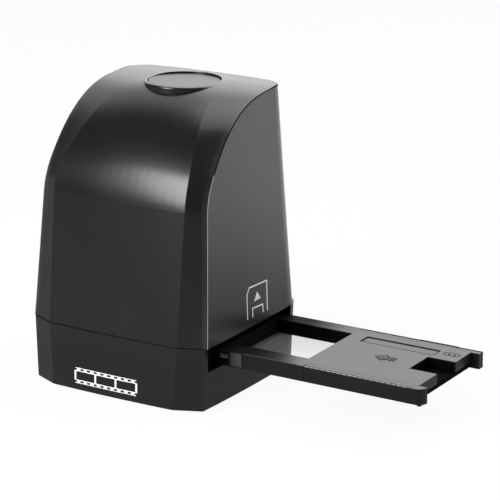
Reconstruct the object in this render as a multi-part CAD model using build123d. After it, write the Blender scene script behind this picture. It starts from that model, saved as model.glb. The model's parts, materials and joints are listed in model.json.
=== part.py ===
from build123d import *
import math
import os

# Film negative scanner: a tapered tower on a low base, with a film holder that slides through
# slots in both sides of the base and a round scan button on top.
# Millimetres. +Z up, +Y to the rear, +X to the side where the holder stands out.
# The origin is the middle of the footprint, on the plane that the rubber feet stand on.

# ---- housing sizes ----
FOOT_PROUD = 0.8
FOOT_RADIUS = 5.0
FOOT_RECESS = 1.0
WALL = 2.2
SEAM_Z = 29.75
BASE_HALF_WIDTH = 47.1
BASE_DRAFT = 1.2
BASE_FRONT_Y = -44.0
BASE_FRONT_Y_BOTTOM = -45.4
BASE_CORNER_Y = -38.7
BASE_CORNER_Y_BOTTOM = -39.9
BASE_BEVEL_X = 12.0
BASE_BEVEL_X_BOTTOM = 12.9
REAR_Y = 45.3
REAR_Y_BOTTOM = 44.4
REAR_CORNER_RADIUS = 15.6
SIDE_BOW = 1.2
FRONT_BOW = 0.7
TOWER_STEP = 0.4
TOWER_LEAN = 3.1
TOWER_ROUGH_HEIGHT = 115.0
TOWER_ROUGH_FRONT_Y = -70.0
SEAM_GAP = 0.05
BASE_HALF_WIDTH_BOTTOM = BASE_HALF_WIDTH - BASE_DRAFT
BASE_CREASE_X = BASE_HALF_WIDTH - BASE_BEVEL_X
BASE_CREASE_X_BOTTOM = BASE_HALF_WIDTH_BOTTOM - BASE_BEVEL_X_BOTTOM

# Front crease of the tower: a straight lean, then a bend over to the level top (x, y, z).
CREASE_FOOT = (BASE_CREASE_X, -43.6, SEAM_Z)
CREASE_BEND = [(BASE_CREASE_X + 0.5, -36.0, 89.8), (BASE_CREASE_X - 1.5, -27.6, 107.5),
               (BASE_CREASE_X - 6.3, -13.2, 122.3), (BASE_CREASE_X - 9.6, -0.7, 130.2),
               (BASE_CREASE_X - 12.6, 12.0, 133.6), (BASE_CREASE_X - 14.1, 26.0, 134.6)]
CREASE_REAR = (BASE_CREASE_X - 14.6, 50.0, 134.2)
# How far the middle of the front and top stands out from the crease at the same stations (y, z).
CROWN_FOOT = (-0.7, 0.0)
CROWN_BEND = [(-0.9, 0.1), (-0.9, 0.5), (-0.8, 1.1), (-0.2, 1.5), (0.0, 1.1), (0.0, 0.4)]
CROWN_REAR = (0.0, 0.1)
CROWN_STRIPS = 14
# The same bend where the bevel leaves the tower, at the outside plane of the rough block (y, z).
FLANK_X = BASE_HALF_WIDTH + 2.9
FLANK_FOOT = (-37.0, SEAM_Z)
FLANK_BEND = [(-28.8, 87.1), (-22.8, 103.4), (-12.4, 117.4), (1.2, 127.4), (15.5, 132.0),
              (28.0, 133.2)]
FLANK_REAR = (50.0, 133.3)

# ---- film slot and holder ----
SLOT_FRONT_Y = -36.9
SLOT_REAR_Y = 31.7
SLOT_FLOOR_Z = 18.3
HOLDER_FRONT_Y = -25.1
HOLDER_REAR_Y = 30.9
HOLDER_BOTTOM_Z = 18.4
HOLDER_TOP_Z = 25.6
HOLDER_INNER_X = -30.0
HOLDER_OUTER_X = 147.9
HOLDER_CORNER_RADIUS = 4.0
HOLDER_FLOOR = 2.4
HOLDER_FLOOR_END_X = 143.0
HOLDER_NEAR_RAIL = 4.2
HOLDER_FAR_RAIL = 3.5
HOLDER_END_BAR = 4.0
LID_END_X = 143.7
LID_CLEARANCE = 0.15
OPTICAL_Y = 3.75
WINDOW_LENGTH = 40.0
WINDOW_WIDTH = 38.7
WINDOW_PITCH = 66.0
PANE_THICKNESS = 0.6
PANE_MARGIN = 1.5
PANE_TOP_Z = 19.15
NOTCH_X = 130.0
NOTCH_FRONT_Y = -4.3
NOTCH_REAR_Y = 12.9
KNUCKLE_START = -8.6
KNUCKLE_LENGTH = 31.4
PIN_RADIUS = 1.0
PIN_HEAD_RADIUS = 1.6
PIN_HEAD_LENGTH = 4.0
PIN_RUN = 0.05
PIN_NOTCH_LENGTH = 5.5
PIN_Z = 22.4
PIN_INSET_Y = 2.1
TAB_X0 = 116.1
TAB_X1 = 135.9
TAB_PROUD = 0.5
TAB_THICKNESS = 1.0
TAB_DEPTH = 7.0
LABEL_X0 = 94.0
LABEL_X1 = 131.2
LABEL_Y0 = 15.8
LABEL_Y1 = 22.8
LABEL_DEPTH = 0.3
LUG_LENGTH = 4.0
SLIDE_RUN = 0.1
SLIDE_TOP_GAP = 0.3

# ---- film guides and backlight ----
GUIDE_THICKNESS = 2.2
GUIDE_EDGE_GAP = 0.4
UPPER_GUIDE_SIDE_GAP = 5.1
LIGHT_WINDOW_MARGIN = 1.0
POST_FRONT_INSET_X = 8.1
POST_FRONT_INSET_Y = 7.0
POST_REAR_INSET = 8.8
POST_RADIUS = 3.5
BOTTOM_PLATE = 2.0
PLATE_GAP = 0.15
SCREW_RADIUS = 1.2
SCREW_HEAD_RADIUS = 2.3
SCREW_HEAD_HEIGHT = 1.1
SCREW_HOLE_GAP = 0.15
BASE_SCREW_LENGTH = 9.0
GUIDE_SCREW_LENGTH = 13.0
LIGHT_BOX_HALF_X = 27.0
LIGHT_BOX_HALF_Y = 26.0
LIGHT_BOX_WALL = 1.6
LIGHT_LEDGE = 2.0
DIFFUSER_THICKNESS = 2.0
DIFFUSER_GAP = 0.1
LED_BOARD_THICKNESS = 1.6
LED_BOARD_LIFT = 1.5
LED_SIZE = 3.5
LED_HEIGHT = 1.9
LED_PITCH = 13.0

# ---- camera tower ----
TUNNEL_HALF_X = 23.0
TUNNEL_HALF_Y = 22.5
TUNNEL_TOP_HALF = 9.5
TUNNEL_WALL = 1.5
TUNNEL_TOP_Z = 70.0
BARREL_RADIUS = 7.5
BARREL_BORE = 5.0
BARREL_SEAT_RADIUS = 6.2
BARREL_SEAT_DEPTH = 5.0
BARREL_HEIGHT = 18.0
LENS_THICKNESS = 3.2
LENS_LIFT = 5.0
LENS_CURVE_RADIUS = 12.0
SENSOR_BOARD_X = 30.0
SENSOR_BOARD_Y = 26.0
BOARD_THICKNESS = 1.6
CHIP_X = 8.2
CHIP_Y = 7.0
CHIP_HEIGHT = 1.2
BRACKET_SHEET = 1.5
BRACKET_HALF_X = 29.5
BRACKET_WIDTH = 22.0
BRACKET_FLANGE = 8.0
BRACKET_SCREW_PITCH = 12.0
BRACKET_SCREW_LENGTH = 3.4
BOARD_SCREW_PITCH_X = 22.0

# ---- main board ----
MAIN_BOARD_HALF_X = 28.0
MAIN_BOARD_Z0 = 31.0
MAIN_BOARD_Z1 = 80.0
MAIN_BOARD_REAR_Y = 37.6
MAIN_BOSS_INSET = 4.0
MAIN_BOSS_X = MAIN_BOARD_HALF_X - MAIN_BOSS_INSET
MAIN_BOSS_Z = [35.5, 75.5]
MAIN_BOSS_RADIUS = 2.8
MAIN_SCREW_LENGTH = 4.5
SOCKET_WIDTH = 7.7
SOCKET_HEIGHT = 3.9
SOCKET_Z = 40.0
SOCKET_END_Y = 44.5
SOCKET_SHELL = 0.35
SOCKET_DEPTH = 5.0
SOCKET_HOLE_GAP = 0.3
PROCESSOR_SIZE = 12.0
PROCESSOR_HEIGHT = 1.2
PROCESSOR_Z = 60.0

# ---- scan button ----
BUTTON_Y = 18.4
BUTTON_Z = 134.4
BUTTON_TILT = -2.4
BUTTON_RADIUS = 16.7
BUTTON_GAP = 0.35
BUTTON_PLATE = 2.0
BUTTON_SKIRT = 1.6
BUTTON_SKIRT_DEPTH = 4.4
BUTTON_EDGE = 0.4
BOSS_RADIUS = 18.6
BOSS_DEPTH = 8.2
BOSS_EDGE = 0.9
STEM_RADIUS = 3.4
STEM_GAP = 0.2
STEM_LENGTH = 9.9
BUTTON_TRAVEL = 1.0
CARRIER_THICKNESS = 1.5
CARRIER_POST_RADIUS = 2.2
CARRIER_POST_X = 12.5
CARRIER_POST_LENGTH = 4.5
CARRIER_SCREW_LENGTH = 5.0
SPRING_RADIUS = 4.6
SPRING_WIRE = 0.5
SWITCH_SIZE = 6.0
SWITCH_BUTTON_RADIUS = 1.7
SWITCH_BUTTON_HEIGHT = 0.5
SWITCH_GAP = 0.1
BUTTON_BOARD_X = 32.0
BUTTON_BOARD_Y0 = -9.0
BUTTON_BOARD_Y1 = 19.6
LIGHT_PIPE_Y = 17.8
LIGHT_PIPE_RADIUS = 0.55
LIGHT_PIPE_PROUD = 0.45

# ---- derived places ----
TOWER_HALF_WIDTH = BASE_HALF_WIDTH - TOWER_STEP
TOWER_REAR_Y = REAR_Y - TOWER_STEP
UPPER_GUIDE_HALF_X = BASE_HALF_WIDTH - UPPER_GUIDE_SIDE_GAP
POST_FRONT_X = BASE_HALF_WIDTH - POST_FRONT_INSET_X
POST_REAR_X = BASE_HALF_WIDTH - POST_REAR_INSET
POST_FRONT_Y = BASE_FRONT_Y + POST_FRONT_INSET_Y
POST_REAR_Y = REAR_Y - POST_REAR_INSET
SCREW_POSTS = [(POST_FRONT_X, POST_FRONT_Y), (-POST_FRONT_X, POST_FRONT_Y),
               (POST_REAR_X, POST_REAR_Y), (-POST_REAR_X, POST_REAR_Y)]
GUIDE_TOP_Z = SLOT_FLOOR_Z
GUIDE_BOTTOM_Z = GUIDE_TOP_Z - GUIDE_THICKNESS
UPPER_GUIDE_Z = HOLDER_TOP_Z + SLIDE_TOP_GAP
UPPER_GUIDE_TOP_Z = UPPER_GUIDE_Z + GUIDE_THICKNESS
PLATE_TOP_Z = FOOT_PROUD + BOTTOM_PLATE
LED_BOARD_Z = PLATE_TOP_Z + LED_BOARD_LIFT
BARREL_TOP_Z = TUNNEL_TOP_Z + BARREL_HEIGHT
BRACKET_Z = BARREL_TOP_Z + BOARD_THICKNESS
WINDOW_CENTRES = [0.0, WINDOW_PITCH]
PIN_Y = HOLDER_FRONT_Y + PIN_INSET_Y
LID_BOTTOM_Z = HOLDER_BOTTOM_Z + HOLDER_FLOOR + LID_CLEARANCE
CARRIER_TOP = -BOSS_DEPTH
CARRIER_BOTTOM = CARRIER_TOP - CARRIER_THICKNESS
BUTTON_BOARD_TOP = CARRIER_BOTTOM - CARRIER_POST_LENGTH
BUTTON_PLANE = Pos(0, BUTTON_Y, BUTTON_Z) * Rot(BUTTON_TILT, 0, 0)


def block(x0, x1, y0, y1, z0, z1):
    """A box between two corners."""
    middle = Pos((x0 + x1) / 2, (y0 + y1) / 2, (z0 + z1) / 2)
    return middle * Box(x1 - x0, y1 - y0, z1 - z0)


def rod(x, y, z0, z1, radius):
    """An upright cylinder."""
    return Pos(x, y, (z0 + z1) / 2) * Cylinder(radius, z1 - z0)


def rod_along_x(x0, x1, y, z, radius):
    """A cylinder that lies along X."""
    return Pos((x0 + x1) / 2, y, z) * Rot(0, 90, 0) * Cylinder(radius, x1 - x0)


def rod_along_y(x, y0, y1, z, radius):
    """A cylinder that lies along Y."""
    return Pos(x, (y0 + y1) / 2, z) * Rot(90, 0, 0) * Cylinder(radius, y1 - y0)


def outline(half_width, crease_x, front_y, corner_y, rear_y, inset):
    """Plan of the body: bowed front, two bevels, bowed sides and a rounded rear."""
    side_x = half_width - inset
    front = front_y + inset
    corner = corner_y + inset
    rear = rear_y - inset
    middle_y = (corner + rear) / 2
    right = ThreePointArc((side_x, corner), (side_x + SIDE_BOW, middle_y), (side_x, rear))
    left = ThreePointArc((-side_x, rear), (-side_x - SIDE_BOW, middle_y), (-side_x, corner))
    rear_line = Line((side_x, rear), (-side_x, rear))
    left_bevel = Line((-side_x, corner), (-crease_x, front))
    front_arc = ThreePointArc((-crease_x, front), (0, front - FRONT_BOW), (crease_x, front))
    right_bevel = Line((crease_x, front), (side_x, corner))
    face = make_face(Curve() + [right, rear_line, left, left_bevel, front_arc, right_bevel])
    rear_corners = face.vertices().sort_by(Axis.Y)[-2:]
    return fillet(rear_corners, REAR_CORNER_RADIUS - inset)


def base_block(inset, z0, z1):
    """The base's solid shape between two heights, drawn in by an inset."""
    low = outline(BASE_HALF_WIDTH_BOTTOM, BASE_CREASE_X_BOTTOM, BASE_FRONT_Y_BOTTOM,
                  BASE_CORNER_Y_BOTTOM, REAR_Y_BOTTOM, inset)
    high = outline(BASE_HALF_WIDTH, BASE_CREASE_X, BASE_FRONT_Y, BASE_CORNER_Y, REAR_Y, inset)
    whole = loft([Pos(0, 0, FOOT_PROUD) * low, Pos(0, 0, SEAM_Z) * high], ruled=True)
    reach = BASE_HALF_WIDTH * 2
    return whole & block(-reach, reach, -reach, reach, z0, z1)


def bend_wire(foot, bend, rear):
    """One closed section of the tower's front and top: lean, bend, rear and foot."""
    lean = Line(foot, bend[0])
    over = Spline(bend + [rear], tangents=[lean @ 1 - lean @ 0, (0, 1, 0)])
    rear_foot = (foot[0], rear[1], foot[2])
    back = Line(rear, rear_foot)
    under = Line(rear_foot, foot)
    return Wire([lean, over, back, under])


def crown_point(edge, crown, station):
    """A point of the front between its creases: 1 and -1 are the creases and 0 is the middle."""
    swell = 1 - station * station
    return (edge[0] * station, edge[1] + crown[0] * swell, edge[2] + crown[1] * swell)


def tower_front_block(inset):
    """The block that has the tower's front, bevels and top, moved inward by an inset."""
    right_flank = bend_wire((FLANK_X,) + FLANK_FOOT, [(FLANK_X,) + p for p in FLANK_BEND],
                            (FLANK_X,) + FLANK_REAR)
    wires = [right_flank]
    for strip in range(CROWN_STRIPS + 1):
        station = 1 - 2 * strip / CROWN_STRIPS
        bend = [crown_point(edge, crown, station) for edge, crown in zip(CREASE_BEND, CROWN_BEND)]
        wires.append(bend_wire(crown_point(CREASE_FOOT, CROWN_FOOT, station), bend,
                               crown_point(CREASE_REAR, CROWN_REAR, station)))
    wires.append(right_flank.mirror(Plane.YZ))
    return Pos(0, inset, -inset) * Solid.make_loft(wires, ruled=True)


def tower_plan_block(inset):
    """The block that has the tower's leaning sides and rear."""
    plan = outline(TOWER_HALF_WIDTH, CREASE_FOOT[0], TOWER_ROUGH_FRONT_Y, TOWER_ROUGH_FRONT_Y,
                   TOWER_REAR_Y, inset)
    return extrude(Pos(0, 0, SEAM_Z) * plan, TOWER_ROUGH_HEIGHT, taper=TOWER_LEAN)


def boss_solid(radius, z0, z1):
    """A cylinder about the scan button's axis, with heights measured from the button's face."""
    return BUTTON_PLANE * Pos(0, 0, (z0 + z1) / 2) * Cylinder(radius, z1 - z0)


def screws(places, length):
    """Pan-head screws: each place is a location whose +Z points from the tip to the head."""
    shaft = Pos(0, 0, -length / 2) * Cylinder(SCREW_RADIUS, length)
    head = Pos(0, 0, SCREW_HEAD_HEIGHT / 2) * Cylinder(SCREW_HEAD_RADIUS, SCREW_HEAD_HEIGHT)
    crown = head.edges().filter_by(GeomType.CIRCLE).sort_by(Axis.Z)[-1]
    head = fillet(crown, SCREW_HEAD_HEIGHT * 0.4)
    drive = Box(SCREW_HEAD_RADIUS, SCREW_RADIUS / 2, SCREW_HEAD_HEIGHT)
    cross = drive + Rot(0, 0, 90) * drive
    one = shaft + head - Pos(0, 0, SCREW_HEAD_HEIGHT) * cross
    return Compound(children=[place * one for place in places])


# ---- housing ----
def base_shell():
    """The base's wall ring with its screw posts and the two holder slots."""
    cavity = base_block(WALL, FOOT_PROUD, SEAM_Z)
    ring = base_block(0, FOOT_PROUD, SEAM_Z) - cavity
    inside = base_block(WALL / 2, FOOT_PROUD, SEAM_Z)
    for x, y in SCREW_POSTS:
        ring += rod(x, y, PLATE_TOP_Z, GUIDE_BOTTOM_Z, POST_RADIUS) & inside
    for x, y in SCREW_POSTS:
        ring -= rod(x, y, PLATE_TOP_Z, GUIDE_BOTTOM_Z, SCREW_RADIUS)
    reach = BASE_HALF_WIDTH * 2
    return ring - block(-reach, reach, SLOT_FRONT_Y, SLOT_REAR_Y, SLOT_FLOOR_Z, SEAM_Z + 1)


def bottom_plate():
    """The plate that closes the base, with recesses for the feet and the screw heads."""
    plate = base_block(WALL + PLATE_GAP, FOOT_PROUD, PLATE_TOP_Z)
    for x, y in SCREW_POSTS:
        plate -= rod(x, y, 0, PLATE_TOP_Z + 1, SCREW_RADIUS + SCREW_HOLE_GAP)
        plate -= rod(x, y, 0, FOOT_PROUD + SCREW_HEAD_HEIGHT, SCREW_HEAD_RADIUS + SCREW_HOLE_GAP)
    for x, y in foot_places():
        plate -= rod(x, y, 0, FOOT_PROUD + FOOT_RECESS, FOOT_RADIUS)
    return plate


def foot_places():
    """Plan positions of the rubber feet, inward of the screw posts."""
    inward = POST_RADIUS + FOOT_RADIUS
    return [(x - math.copysign(inward, x), y - math.copysign(inward / 2, y)) for x, y in SCREW_POSTS]


def rubber_feet():
    """Four round pads in the plate's recesses."""
    pads = []
    for x, y in foot_places():
        pad = rod(x, y, 0, FOOT_PROUD + FOOT_RECESS, FOOT_RADIUS)
        pads.append(chamfer(pad.edges().filter_by(GeomType.CIRCLE).sort_by(Axis.Z)[0], FOOT_PROUD / 2))
    return Compound(children=pads)


def base_screws():
    """Screws from below through the plate into the posts."""
    head_seat = FOOT_PROUD + SCREW_HEAD_HEIGHT
    return screws([Pos(x, y, head_seat) * Rot(180, 0, 0) for x, y in SCREW_POSTS], BASE_SCREW_LENGTH)


def front_wrap():
    """The tower's front and top in one shell, with the round boss for the scan button."""
    shell = tower_front_block(0) - tower_front_block(WALL)
    shell = shell & tower_plan_block(WALL + SEAM_GAP)
    boss = Cylinder(BOSS_RADIUS, BOSS_DEPTH)
    boss = fillet(boss.edges().filter_by(GeomType.CIRCLE).sort_by(Axis.Z)[-1], BOSS_EDGE)
    shell = shell + BUTTON_PLANE * Pos(0, 0, -BOSS_DEPTH / 2) * boss
    shell -= boss_solid(BUTTON_RADIUS + BUTTON_GAP, -BOSS_DEPTH * 2, BOSS_DEPTH)
    pipe = Pos(0, LIGHT_PIPE_Y, 0) * Cylinder(LIGHT_PIPE_RADIUS, BOSS_DEPTH * 3)
    return shell - BUTTON_PLANE * pipe


def rear_housing():
    """The U-shaped shell of both sides and the rear, with the main board's bosses."""
    outer = tower_front_block(0) & tower_plan_block(0)
    shell = outer - tower_plan_block(WALL)
    for x in (-MAIN_BOSS_X, MAIN_BOSS_X):
        for z in MAIN_BOSS_Z:
            boss = rod_along_y(x, MAIN_BOARD_REAR_Y, TOWER_REAR_Y, z, MAIN_BOSS_RADIUS)
            shell += boss & tower_plan_block(WALL / 2)
    for x in (-MAIN_BOSS_X, MAIN_BOSS_X):
        for z in MAIN_BOSS_Z:
            depth_y = MAIN_BOARD_REAR_Y + MAIN_SCREW_LENGTH - BOARD_THICKNESS
            shell -= rod_along_y(x, MAIN_BOARD_REAR_Y, depth_y, z, SCREW_RADIUS)
    half_w = SOCKET_WIDTH / 2 + SOCKET_HOLE_GAP
    half_h = SOCKET_HEIGHT / 2 + SOCKET_HOLE_GAP
    return shell - block(-half_w, half_w, MAIN_BOARD_REAR_Y, TOWER_REAR_Y + 1,
                         SOCKET_Z - half_h, SOCKET_Z + half_h)


# ---- film guides ----
def guide_window(z0, z1, margin):
    """The light opening of a guide about the optical axis."""
    half_x = WINDOW_LENGTH / 2 + margin
    half_y = WINDOW_WIDTH / 2 + margin
    return block(-half_x, half_x, OPTICAL_Y - half_y, OPTICAL_Y + half_y, z0, z1)


def lower_film_guide():
    """The plate under the holder; it stands on the posts and on the light box."""
    plate = base_block(WALL + GUIDE_EDGE_GAP, GUIDE_BOTTOM_Z, GUIDE_TOP_Z)
    plate -= guide_window(GUIDE_BOTTOM_Z - 1, GUIDE_TOP_Z + 1, LIGHT_WINDOW_MARGIN)
    for x, y in SCREW_POSTS:
        plate -= rod(x, y, GUIDE_BOTTOM_Z - 1, GUIDE_TOP_Z + 1, SCREW_RADIUS + SCREW_HOLE_GAP)
    return plate


def upper_film_guide():
    """The plate over the holder with a rail before and behind it."""
    reach = BASE_HALF_WIDTH * 2
    inside = base_block(WALL + GUIDE_EDGE_GAP, GUIDE_TOP_Z, UPPER_GUIDE_TOP_Z)
    inside &= block(-UPPER_GUIDE_HALF_X, UPPER_GUIDE_HALF_X, -reach, reach, GUIDE_TOP_Z, UPPER_GUIDE_TOP_Z)
    channel = block(-reach, reach, HOLDER_FRONT_Y - SLIDE_RUN, HOLDER_REAR_Y + TAB_PROUD + SLIDE_RUN,
                    GUIDE_TOP_Z - 1, UPPER_GUIDE_Z)
    plate = inside - channel - guide_window(UPPER_GUIDE_Z - 1, UPPER_GUIDE_TOP_Z + 1, 0)
    for x, y in SCREW_POSTS:
        plate -= rod(x, y, GUIDE_TOP_Z - 1, UPPER_GUIDE_TOP_Z + 1, SCREW_RADIUS + SCREW_HOLE_GAP)
    for x, y in bracket_screw_places():
        plate -= rod(x, y, UPPER_GUIDE_Z - 1, UPPER_GUIDE_TOP_Z + 1, SCREW_RADIUS)
    return plate


def guide_screws():
    """Long screws from above through both guides into the posts."""
    return screws([Pos(x, y, UPPER_GUIDE_TOP_Z) for x, y in SCREW_POSTS], GUIDE_SCREW_LENGTH)


# ---- backlight ----
def backlight_box():
    """Four upright walls from the bottom plate to the lower guide, with a ledge for the diffuser."""
    box = block(-LIGHT_BOX_HALF_X, LIGHT_BOX_HALF_X, OPTICAL_Y - LIGHT_BOX_HALF_Y,
                OPTICAL_Y + LIGHT_BOX_HALF_Y, PLATE_TOP_Z, GUIDE_BOTTOM_Z)
    half_x = LIGHT_BOX_HALF_X - LIGHT_BOX_WALL
    half_y = LIGHT_BOX_HALF_Y - LIGHT_BOX_WALL
    ledge_z = GUIDE_BOTTOM_Z - DIFFUSER_THICKNESS
    low_z = ledge_z - LIGHT_LEDGE
    seat = block(-half_x, half_x, OPTICAL_Y - half_y, OPTICAL_Y + half_y, ledge_z, GUIDE_BOTTOM_Z + 1)
    room = block(-half_x, half_x, OPTICAL_Y - half_y, OPTICAL_Y + half_y, PLATE_TOP_Z - 1, low_z)
    throat_x = half_x - LIGHT_LEDGE
    throat_y = half_y - LIGHT_LEDGE
    throat = block(-throat_x, throat_x, OPTICAL_Y - throat_y, OPTICAL_Y + throat_y, low_z - 1, ledge_z + 1)
    return box - seat - room - throat


def diffuser_plate():
    """The milky plate that lies on the light box's ledge."""
    half_x = LIGHT_BOX_HALF_X - LIGHT_BOX_WALL - DIFFUSER_GAP
    half_y = LIGHT_BOX_HALF_Y - LIGHT_BOX_WALL - DIFFUSER_GAP
    return block(-half_x, half_x, OPTICAL_Y - half_y, OPTICAL_Y + half_y,
                 GUIDE_BOTTOM_Z - DIFFUSER_THICKNESS, GUIDE_BOTTOM_Z)


def backlight_board():
    """The lamp board on four short legs over the bottom plate."""
    half_x = LIGHT_BOX_HALF_X - LIGHT_BOX_WALL - DIFFUSER_GAP
    half_y = LIGHT_BOX_HALF_Y - LIGHT_BOX_WALL - DIFFUSER_GAP
    board = block(-half_x, half_x, OPTICAL_Y - half_y, OPTICAL_Y + half_y,
                  LED_BOARD_Z, LED_BOARD_Z + LED_BOARD_THICKNESS)
    for x in (-half_x + LED_SIZE, half_x - LED_SIZE):
        for y in (-half_y + LED_SIZE, half_y - LED_SIZE):
            board += rod(x, OPTICAL_Y + y, PLATE_TOP_Z, LED_BOARD_Z, LED_SIZE / 2)
    return board


def backlight_lamps():
    """Nine square lamps in a grid on the lamp board."""
    top = LED_BOARD_Z + LED_BOARD_THICKNESS
    lamps = []
    for column in (-1, 0, 1):
        for row in (-1, 0, 1):
            x = column * LED_PITCH
            y = OPTICAL_Y + row * LED_PITCH
            body = block(x - LED_SIZE / 2, x + LED_SIZE / 2, y - LED_SIZE / 2, y + LED_SIZE / 2,
                         top, top + LED_HEIGHT)
            lamps.append(body - rod(x, y, top + LED_HEIGHT / 2, top + LED_HEIGHT + 1, LED_SIZE / 3))
    return Compound(children=lamps)


# ---- camera ----
def light_tunnel():
    """The tapered baffle between the film window and the lens."""
    def frustum(half_x, half_y, top_half):
        foot = Pos(0, OPTICAL_Y, UPPER_GUIDE_TOP_Z) * Rectangle(half_x * 2, half_y * 2)
        crown = Pos(0, OPTICAL_Y, TUNNEL_TOP_Z) * Rectangle(top_half * 2, top_half * 2)
        return loft([foot, crown], ruled=True)
    outer = frustum(TUNNEL_HALF_X, TUNNEL_HALF_Y, TUNNEL_TOP_HALF)
    inner = frustum(TUNNEL_HALF_X - TUNNEL_WALL, TUNNEL_HALF_Y - TUNNEL_WALL,
                    TUNNEL_TOP_HALF - TUNNEL_WALL)
    return outer - inner


def lens_barrel():
    """The tube that carries the lens between the tunnel and the sensor board."""
    tube = rod(0, OPTICAL_Y, TUNNEL_TOP_Z, BARREL_TOP_Z, BARREL_RADIUS)
    flange = rod(0, OPTICAL_Y, TUNNEL_TOP_Z, TUNNEL_TOP_Z + TUNNEL_WALL, TUNNEL_TOP_HALF)
    bore = rod(0, OPTICAL_Y, TUNNEL_TOP_Z - 1, BARREL_TOP_Z + 1, BARREL_BORE)
    seat = rod(0, OPTICAL_Y, BARREL_TOP_Z - BARREL_SEAT_DEPTH, BARREL_TOP_Z + 1, BARREL_SEAT_RADIUS)
    return tube + flange - bore - seat


def lens_glass():
    """A lens with two curved faces, held at its rim in the barrel's bore."""
    middle = TUNNEL_TOP_Z + LENS_LIFT
    drum = rod(0, OPTICAL_Y, middle - LENS_THICKNESS, middle + LENS_THICKNESS, BARREL_BORE)
    sink = LENS_CURVE_RADIUS - LENS_THICKNESS / 2
    low = Pos(0, OPTICAL_Y, middle + sink) * Sphere(LENS_CURVE_RADIUS)
    high = Pos(0, OPTICAL_Y, middle - sink) * Sphere(LENS_CURVE_RADIUS)
    return drum & low & high


def sensor_board():
    """The small board on top of the lens barrel."""
    board = block(-SENSOR_BOARD_X / 2, SENSOR_BOARD_X / 2, OPTICAL_Y - SENSOR_BOARD_Y / 2,
                  OPTICAL_Y + SENSOR_BOARD_Y / 2, BARREL_TOP_Z, BRACKET_Z)
    for x in (-BOARD_SCREW_PITCH_X / 2, BOARD_SCREW_PITCH_X / 2):
        board -= rod(x, OPTICAL_Y, BARREL_TOP_Z - 1, BRACKET_Z + 1, SCREW_RADIUS)
    return board


def sensor_chip():
    """The image sensor under the board, inside the barrel's seat."""
    body = block(-CHIP_X / 2, CHIP_X / 2, OPTICAL_Y - CHIP_Y / 2, OPTICAL_Y + CHIP_Y / 2,
                 BARREL_TOP_Z - CHIP_HEIGHT, BARREL_TOP_Z)
    glass = CHIP_HEIGHT / 4
    recess = block(-CHIP_X / 2 + 1, CHIP_X / 2 - 1, OPTICAL_Y - CHIP_Y / 2 + 1, OPTICAL_Y + CHIP_Y / 2 - 1,
                   BARREL_TOP_Z - CHIP_HEIGHT, BARREL_TOP_Z - CHIP_HEIGHT + glass)
    return body - recess


def camera_bracket():
    """The folded sheet that stands on the upper guide and holds the sensor board."""
    half_y = BRACKET_WIDTH / 2
    top = block(-BRACKET_HALF_X, BRACKET_HALF_X, OPTICAL_Y - half_y, OPTICAL_Y + half_y,
                BRACKET_Z, BRACKET_Z + BRACKET_SHEET)
    sheet = top
    for side in (-1, 1):
        leg_out = side * BRACKET_HALF_X
        leg_in = side * (BRACKET_HALF_X - BRACKET_SHEET)
        foot_out = side * (BRACKET_HALF_X + BRACKET_FLANGE)
        sheet += block(min(leg_out, leg_in), max(leg_out, leg_in), OPTICAL_Y - half_y,
                       OPTICAL_Y + half_y, UPPER_GUIDE_TOP_Z, BRACKET_Z)
        sheet += block(min(leg_in, foot_out), max(leg_in, foot_out), OPTICAL_Y - half_y,
                       OPTICAL_Y + half_y, UPPER_GUIDE_TOP_Z, UPPER_GUIDE_TOP_Z + BRACKET_SHEET)
    for x, y in bracket_screw_places():
        sheet -= rod(x, y, UPPER_GUIDE_TOP_Z - 1, UPPER_GUIDE_TOP_Z + BRACKET_SHEET + 1,
                     SCREW_RADIUS + SCREW_HOLE_GAP)
    for x in (-BOARD_SCREW_PITCH_X / 2, BOARD_SCREW_PITCH_X / 2):
        sheet -= rod(x, OPTICAL_Y, BRACKET_Z - 1, BRACKET_Z + BRACKET_SHEET + 1,
                     SCREW_RADIUS + SCREW_HOLE_GAP)
    return sheet


def bracket_screw_places():
    """Plan positions of the screws in the bracket's two feet."""
    x = BRACKET_HALF_X + BRACKET_FLANGE / 2
    half = BRACKET_SCREW_PITCH / 2
    return [(side * x, OPTICAL_Y + step) for side in (-1, 1) for step in (-half, half)]


def bracket_screws():
    """Short screws that hold the bracket's feet and the sensor board."""
    foot_z = UPPER_GUIDE_TOP_Z + BRACKET_SHEET
    places = [Pos(x, y, foot_z) for x, y in bracket_screw_places()]
    for x in (-BOARD_SCREW_PITCH_X / 2, BOARD_SCREW_PITCH_X / 2):
        places.append(Pos(x, OPTICAL_Y, BRACKET_Z + BRACKET_SHEET))
    return screws(places, BRACKET_SCREW_LENGTH)


# ---- electronics ----
def main_board():
    """The upright board on the rear housing's bosses."""
    board = block(-MAIN_BOARD_HALF_X, MAIN_BOARD_HALF_X, MAIN_BOARD_REAR_Y - BOARD_THICKNESS,
                  MAIN_BOARD_REAR_Y, MAIN_BOARD_Z0, MAIN_BOARD_Z1)
    for x in (-MAIN_BOSS_X, MAIN_BOSS_X):
        for z in MAIN_BOSS_Z:
            board -= rod_along_y(x, MAIN_BOARD_REAR_Y - BOARD_THICKNESS - 1, MAIN_BOARD_REAR_Y + 1, z,
                                 SCREW_RADIUS + SCREW_HOLE_GAP)
    return board


def board_screws():
    """Screws through the main board into the bosses."""
    front = MAIN_BOARD_REAR_Y - BOARD_THICKNESS
    places = [Pos(x, front, z) * Rot(90, 0, 0) for x in (-MAIN_BOSS_X, MAIN_BOSS_X) for z in MAIN_BOSS_Z]
    return screws(places, MAIN_SCREW_LENGTH)


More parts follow.
